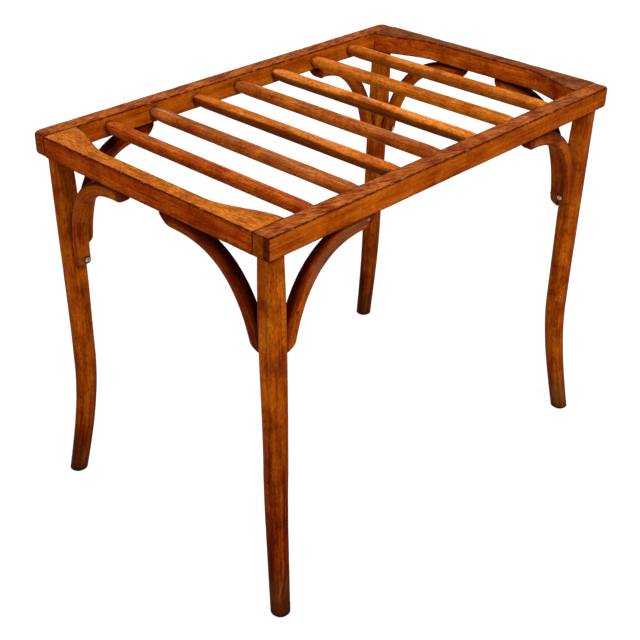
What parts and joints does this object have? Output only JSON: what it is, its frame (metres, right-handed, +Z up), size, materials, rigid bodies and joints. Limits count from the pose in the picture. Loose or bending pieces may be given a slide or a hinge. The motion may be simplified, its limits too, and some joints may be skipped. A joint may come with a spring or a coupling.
{
  "type": "luggage rack",
  "caption": "Rigid bentwood luggage rack: slatted rectangular top on four sabre legs, with curved knee brackets under the rails.",
  "frame": {"origin": "on the floor, below the middle of the top", "axes": "+X along the long rails, +Y across the slatted top, +Z up"},
  "size_m": [0.64, 0.4278, 0.51],
  "materials": {
    "top_wood": "worn satin varnish",
    "slat_wood": "satin varnish",
    "leg_wood": "satin varnish, dark at the feet",
    "bracket_wood": "satin varnish",
    "screw_steel": "aged bright steel"
  },
  "bodies": {
    "root": {"front_rail": "top_wood", "back_rail": "top_wood", "left_end_rail": "top_wood", "right_end_rail": "top_wood", "slat_1": "slat_wood", "slat_2": "slat_wood", "slat_3": "slat_wood", "slat_4": "slat_wood", "slat_5": "slat_wood", "slat_6": "slat_wood", "slat_7": "slat_wood", "leg_front_left": "leg_wood", "end_bracket_front_left": "bracket_wood", "end_leg_screw_front_left": "screw_steel", "end_rail_screw_front_left": "screw_steel", "long_bracket_front_left": "bracket_wood", "long_leg_screw_front_left": "screw_steel", "long_rail_screw_front_left": "screw_steel", "leg_front_right": "leg_wood", "end_bracket_front_right": "bracket_wood", "end_leg_screw_front_right": "screw_steel", "end_rail_screw_front_right": "screw_steel", "long_bracket_front_right": "bracket_wood", "long_leg_screw_front_right": "screw_steel", "long_rail_screw_front_right": "screw_steel", "leg_back_left": "leg_wood", "end_bracket_back_left": "bracket_wood", "end_leg_screw_back_left": "screw_steel", "end_rail_screw_back_left": "screw_steel", "long_bracket_back_left": "bracket_wood", "long_leg_screw_back_left": "screw_steel", "long_rail_screw_back_left": "screw_steel", "leg_back_right": "leg_wood", "end_bracket_back_right": "bracket_wood", "end_leg_screw_back_right": "screw_steel", "end_rail_screw_back_right": "screw_steel", "long_bracket_back_right": "bracket_wood", "long_leg_screw_back_right": "screw_steel", "long_rail_screw_back_right": "screw_steel"}
  },
  "joints": []
}
